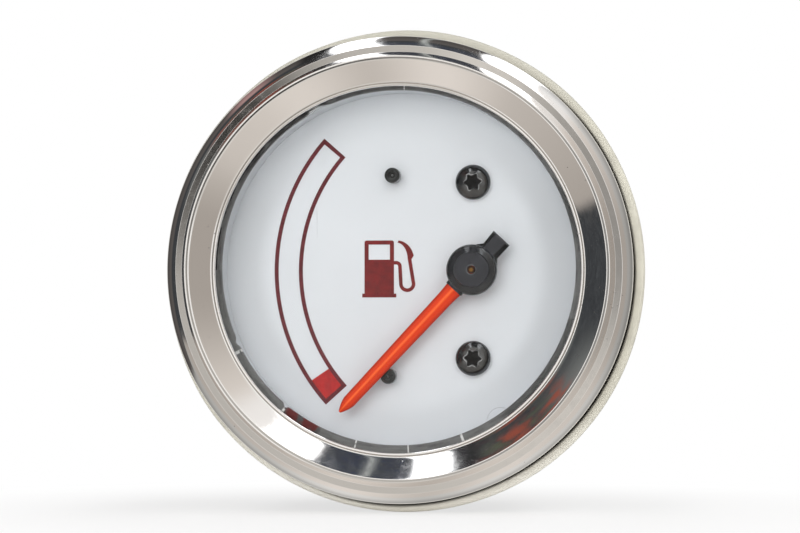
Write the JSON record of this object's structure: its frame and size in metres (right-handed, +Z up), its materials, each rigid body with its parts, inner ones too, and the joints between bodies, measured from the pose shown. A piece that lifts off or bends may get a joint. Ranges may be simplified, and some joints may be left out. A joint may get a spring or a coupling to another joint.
{
  "type": "fuel gauge",
  "caption": "Round panel fuel gauge with a chrome bezel, flat glass, white dial with a printed band and pump sign, off-centre pointer between stop pins, and rear studs, blades and lamp.",
  "frame": {"origin": "on the bezel's axis, in the plane of the panel's front surface, where the panel gasket's rear face lies", "axes": "+Y from the dial towards the rear of the case, -Y towards the viewer, +X to the viewer's right, +Z up"},
  "size_m": [0.0624, 0.055, 0.0624],
  "materials": {
    "bezel_chrome": "polished plating",
    "lens_glass": "clear, flat",
    "lens_gasket": "matt dark grey",
    "spacer_white": "matt white",
    "dial_paint": "matt off-white paint",
    "scale_ink": "printed ink, dull maroon",
    "reserve_ink": "printed ink, red",
    "pump_ink": "printed ink, dark red",
    "black_screw": "black finish on steel, satin",
    "stop_black": "satin black",
    "needle_orange": "satin orange-red",
    "hub_black": "satin black",
    "arbor_brass": "turned",
    "magnet": "dull grey",
    "bobbin": "natural nylon",
    "bearing_brass": "turned",
    "copper_wire": "enamelled copper wire",
    "can_steel": "plain drawn steel",
    "tinned_pin": "tinned",
    "frame_black": "matt dark grey",
    "board_green": "green solder mask",
    "zinc_steel": "zinc plated",
    "resistor_body": "tan enamel",
    "diode_black": "moulded black",
    "case_black": "satin moulded black",
    "gasket_cream": "smooth cream",
    "terminal_brass": "plain brass strip",
    "holder_black": "matt moulded black",
    "bulb_glass": "clear",
    "filament_wire": "drawn wire"
  },
  "bodies": {
    "case": {"bezel": "bezel_chrome", "lens": "lens_glass", "lens_gasket": "lens_gasket", "dial_spacer": "spacer_white", "dial_plate": "dial_paint", "scale_print": "scale_ink", "reserve_print": "reserve_ink", "pump_print": "pump_ink", "dial_screws": "black_screw", "stop_pins": "stop_black", "front_bobbin": "bobbin", "rear_bobbin": "bobbin", "front_bearing": "bearing_brass", "inner_coil": "copper_wire", "outer_coil": "copper_wire", "shield_can": "can_steel", "coil_pins": "tinned_pin", "movement_frame": "frame_black", "circuit_board": "board_green", "board_screws": "zinc_steel", "ballast_resistors": "resistor_body", "zener_diode": "diode_black", "case_shell": "case_black", "panel_gasket": "gasket_cream", "terminal_blades": "terminal_brass", "mounting_studs": "zinc_steel", "stud_washers": "zinc_steel", "stud_nuts": "zinc_steel"},
    "pointer": {"pointer_needle": "needle_orange", "pointer_hub": "hub_black", "arbor": "arbor_brass", "rotor_magnet": "magnet"},
    "lamp": {"lamp_holder": "holder_black", "lamp_bulb": "bulb_glass", "lamp_filament": "filament_wire", "lamp_contacts": "terminal_brass"}
  },
  "joints": [
    {"name": "pointer_swing", "type": "hinge", "parent": "case", "child": "pointer", "pos_m": [0.0092, 0, 0], "axis": [0, 1, 0], "range_deg": [0, 91.5]},
    {"name": "lamp_pull", "type": "slide", "parent": "case", "child": "lamp", "axis": [0, 1, 0], "range_m": [0, 0.018]}
  ]
}
